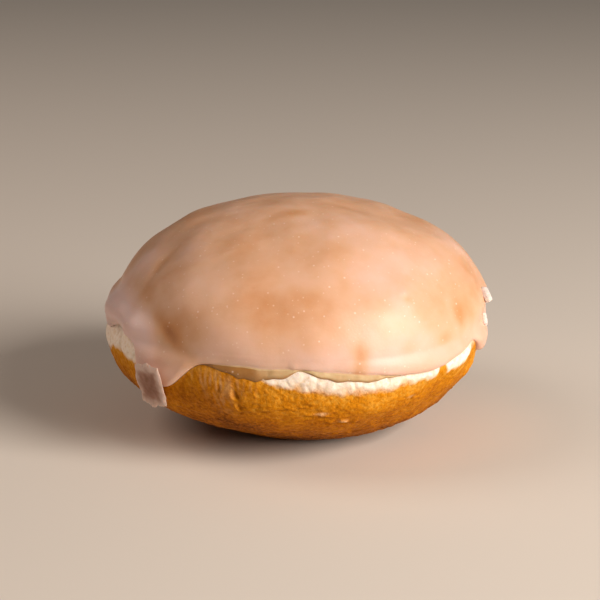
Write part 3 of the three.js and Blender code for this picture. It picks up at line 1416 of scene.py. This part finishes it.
@dataclass
class LooseBit:
    """A loose bit of dry icing: a lumpy closed skin set on the surface.

    Attributes:
        shape: the surface that it sits on.
        angle: where its middle is.
        height: its middle's height.
        off: how far its middle is off the dough.
        half: its half width, half height and half thickness.
        lean: degrees that it is turned in its own plane.
        tip: degrees that its top is tipped outwards.
        corners: how many corners its outline has, the first two of them on both sides of its top.
        sharpness: how sharp they are, from 0, round, to 1.
        jagged: how far its outline wanders, as a share.
        dish: how much thinner its middle is than its edge, as a share.
        seed: picks its outline.
        bend: the radius that its plane is bent to, about the dough's own.
        size: the vertices on its widest ring.
    """

    shape: DoughShape
    name: str
    node: str
    angle: float
    height: float
    off: float
    half: tuple[float, float, float]
    lean: float = 0.0
    tip: float = 0.0
    corners: int = 4
    sharpness: float = 0.8
    jagged: float = 0.12
    dish: float = 0.0
    seed: int = 1
    bend: float = 41.0
    size: int = 120

    def corner(self, turn: Array) -> Array:
        """Reads the outline: a rounded shape with corners and a ragged edge.

        Args:
            turn: directions in the bit's plane, in radians, with its top at a quarter turn.

        Returns:
            How far it reaches in each, as a share of its half sizes.
        """
        side = math.tau / self.corners
        beside = (turn - math.pi / 2 + side / 2) % side - side / 2
        box = (math.cos(side / 2) / np.cos(beside)) ** self.sharpness
        edge = np.c_[np.cos(turn), np.sin(turn), 0 * turn]
        ragged = Noise(0.55, self.seed, octaves=3).at(edge) + 0.6 * Noise(1.1, self.seed + 1).at(edge)
        return box * (1 + self.jagged * ragged)

    def build(self) -> bpy.types.Object:
        """Builds the bit's mesh, curved to the surface under it.

        Returns:
            The bit.
        """
        swings = np.linspace(-1, 1, 41)[1:-1]
        reach = np.sin(np.arccos(swings * 0.999)) ** 0.3 * (1 - 0.15 * np.abs(swings))
        reach = np.where(np.abs(swings) > 0.8, reach * np.sqrt((1 - np.abs(swings)) / 0.2), reach)
        rings = Rings(ring_sizes(reach, self.size))
        level = np.concatenate([[1.0], -swings, [-1.0]])[rings.row]
        out = np.concatenate([[0.0], reach, [0.0]])[rings.row]
        turn = np.radians(rings.angle)
        spread = out * self.corner(turn)
        flat = np.c_[spread * np.cos(turn) * self.half[0], spread * np.sin(turn) * self.half[1]]
        rim = smooth(out, 0.35, 0.95)
        thick = self.half[2] * np.sign(level) * np.minimum(np.abs(level) * 1.6, 1)
        thick *= 1 - self.dish * (1 - rim) * (level > 0)
        lumps = Noise(1.4, self.seed + 2, octaves=2, height=0.12).at(np.c_[flat, thick] + 7)
        middle = np.array([self.angle]), np.array([self.shape.along_at(self.height)])
        origin = self.shape.place(*middle, self.off)[0]
        outward = self.shape.place(*middle, self.off + 1)[0] - origin
        side = np.array([-math.sin(math.radians(self.angle)), math.cos(math.radians(self.angle)), 0.0])
        up = np.cross(outward, side)
        side, up = swung(side, up, self.lean)
        up, outward = swung(up, outward, self.tip)
        sag = flat[:, 0] ** 2 / (2 * self.bend)
        away = (thick + lumps * np.sign(level) - sag)[:, None] * outward
        points = origin + flat[:, :1] * side + flat[:, 1:] * up + away
        marks = {"depth": 1 - 1.5 * self.dish * (1 - rim) * (level > 0)}
        return make_piece(self.name, points, stitch(rings.sizes), marks)


# --------------------------------------------------------------------------- stage, light and camera


@dataclass(frozen=True)
class SoftLight:
    """A soft square light that points at the doughnut.

    Attributes:
        name: the light's name.
        angle: degrees round the doughnut.
        elevation: degrees above the table.
        distance: metres from the doughnut's middle.
        size: the length of its sides, in metres.
        watts: its power.
        colour: its sRGB hex colour.
    """

    name: str
    angle: float
    elevation: float
    distance: float
    size: float
    watts: float
    colour: str


@dataclass
class Studio:
    """The plain pale floor, the soft lights and the camera. Its sizes are in metres and degrees."""

    middle: Vector
    key: SoftLight = SoftLight("key_light", 324, 25, 0.8, 0.42, 9.9, "#fff4ec")
    back: SoftLight = SoftLight("back_light", 178, 45, 0.9, 0.5, 2.4, "#ffe8da")
    surround: str = "#e9e7e4"
    surround_strength: float = 0.08
    floor_radius: float = 6.0
    camera_distance: float = 0.45
    camera_elevation: float = 16.2
    lens: float = 119.6
    shift: tuple[float, float] = (0.0015, 0.016)

    def lay_floor(self) -> None:
        """Lays a round floor under the doughnut."""
        corners = range(64)
        points = on_circle(np.array(corners) * 360 / len(corners)) * self.floor_radius / MM
        floor = make_piece("floor", points, [tuple(corners)], {})
        floor.data.materials.append(PaperSweep("pale matt paper").make())

    def direction(self, angle: float, elevation: float) -> Vector:
        """The direction from the doughnut to an angle round it and an elevation."""
        turn, up = math.radians(angle), math.radians(elevation)
        return Vector((math.cos(turn) * math.cos(up), math.sin(turn) * math.cos(up), math.sin(up)))

    def hang(self, thing: bpy.types.Object, towards: Vector, distance: float) -> None:
        """Puts a light or the camera in its place, pointing at the doughnut.

        Args:
            thing: the light or the camera.
            towards: the direction from the doughnut to it.
            distance: metres between them.
        """
        thing.location = self.middle + towards * distance
        thing.rotation_euler = towards.to_track_quat("Z", "Y").to_euler()
        bpy.context.scene.collection.objects.link(thing)

    def light(self) -> None:
        """Sets a warm key from the right front, a weak light from behind and a dim pale surround."""
        for lamp in (self.key, self.back):
            light = bpy.data.lights.new(lamp.name, "AREA")
            light.size, light.energy, light.color = lamp.size, lamp.watts, linear(lamp.colour)[:3]
            holder = bpy.data.objects.new(lamp.name, light)
            self.hang(holder, self.direction(lamp.angle, lamp.elevation), lamp.distance)
        world = bpy.data.worlds.new("surround")
        world.use_nodes = True
        background = world.node_tree.nodes["Background"]
        background.inputs["Color"].default_value = linear(self.surround)
        background.inputs["Strength"].default_value = self.surround_strength
        bpy.context.scene.world = world
        bpy.context.scene.view_settings.view_transform = "Standard"

    def set_camera(self) -> None:
        """Stands the camera in front of the doughnut, a little above it."""
        camera = bpy.data.objects.new("camera", bpy.data.cameras.new("camera"))
        self.hang(camera, self.direction(FRONT, self.camera_elevation), self.camera_distance)
        camera.data.lens = self.lens
        camera.data.shift_x, camera.data.shift_y = self.shift
        camera.data.clip_start, camera.data.clip_end = 0.01, 20
        bpy.context.scene.camera = camera


def main() -> None:
    """Builds the doughnut, its stage, its light and its camera."""
    logging.basicConfig(level=logging.INFO, format="%(name)s: %(message)s")
    shape = DoughShape.from_frame()
    edge = CoatEdge(shape)
    dough = Dough(shape, edge)
    hand_over(dough.build(), Slot.DOUGH, "dough", FriedDough("deep-fried yeast dough").make())
    hand_over(IcingCoat(dough, edge).build(), Slot.ICING, "icing", SugarIcing("set sugar icing").make())
    dry = DryIcing("broken dry sugar icing").make()
    pale = DryIcing("thick dry sugar icing", body="#e0c0b2", edge="#f0e0d8", shade="#b88e7c").make()
    bits = (
        LooseBit(
            shape, "flake_of_icing", "icing_flake", 224.8, 18.8, 2.3, (5.6, 6.8, 0.36),
            lean=2, tip=-2, dish=0.5, jagged=0.16, seed=51,
        ),
        LooseBit(
            shape, "chip_of_icing", "icing_chip", 346.0, 31.2, 1.6, (2.3, 2.3, 0.8),
            lean=-75, tip=-20, corners=3, jagged=0.1, seed=61,
        ),
        LooseBit(
            shape, "crumb_of_icing", "icing_crumb", 345.0, 26.4, 1.9, (0.9, 1.7, 0.5),
            corners=5, jagged=0.2, seed=71,
        ),
    )
    for bit in bits:
        hand_over(bit.build(), Slot.DRY_ICING, bit.node, dry if bit.node == "icing_flake" else pale)
    low, high = CAD_BOX
    studio = Studio(middle=Vector((0, 0, (low.z + high.z) / 2)))
    studio.lay_floor()
    studio.light()
    studio.set_camera()


if __name__ == "__main__":
    main()
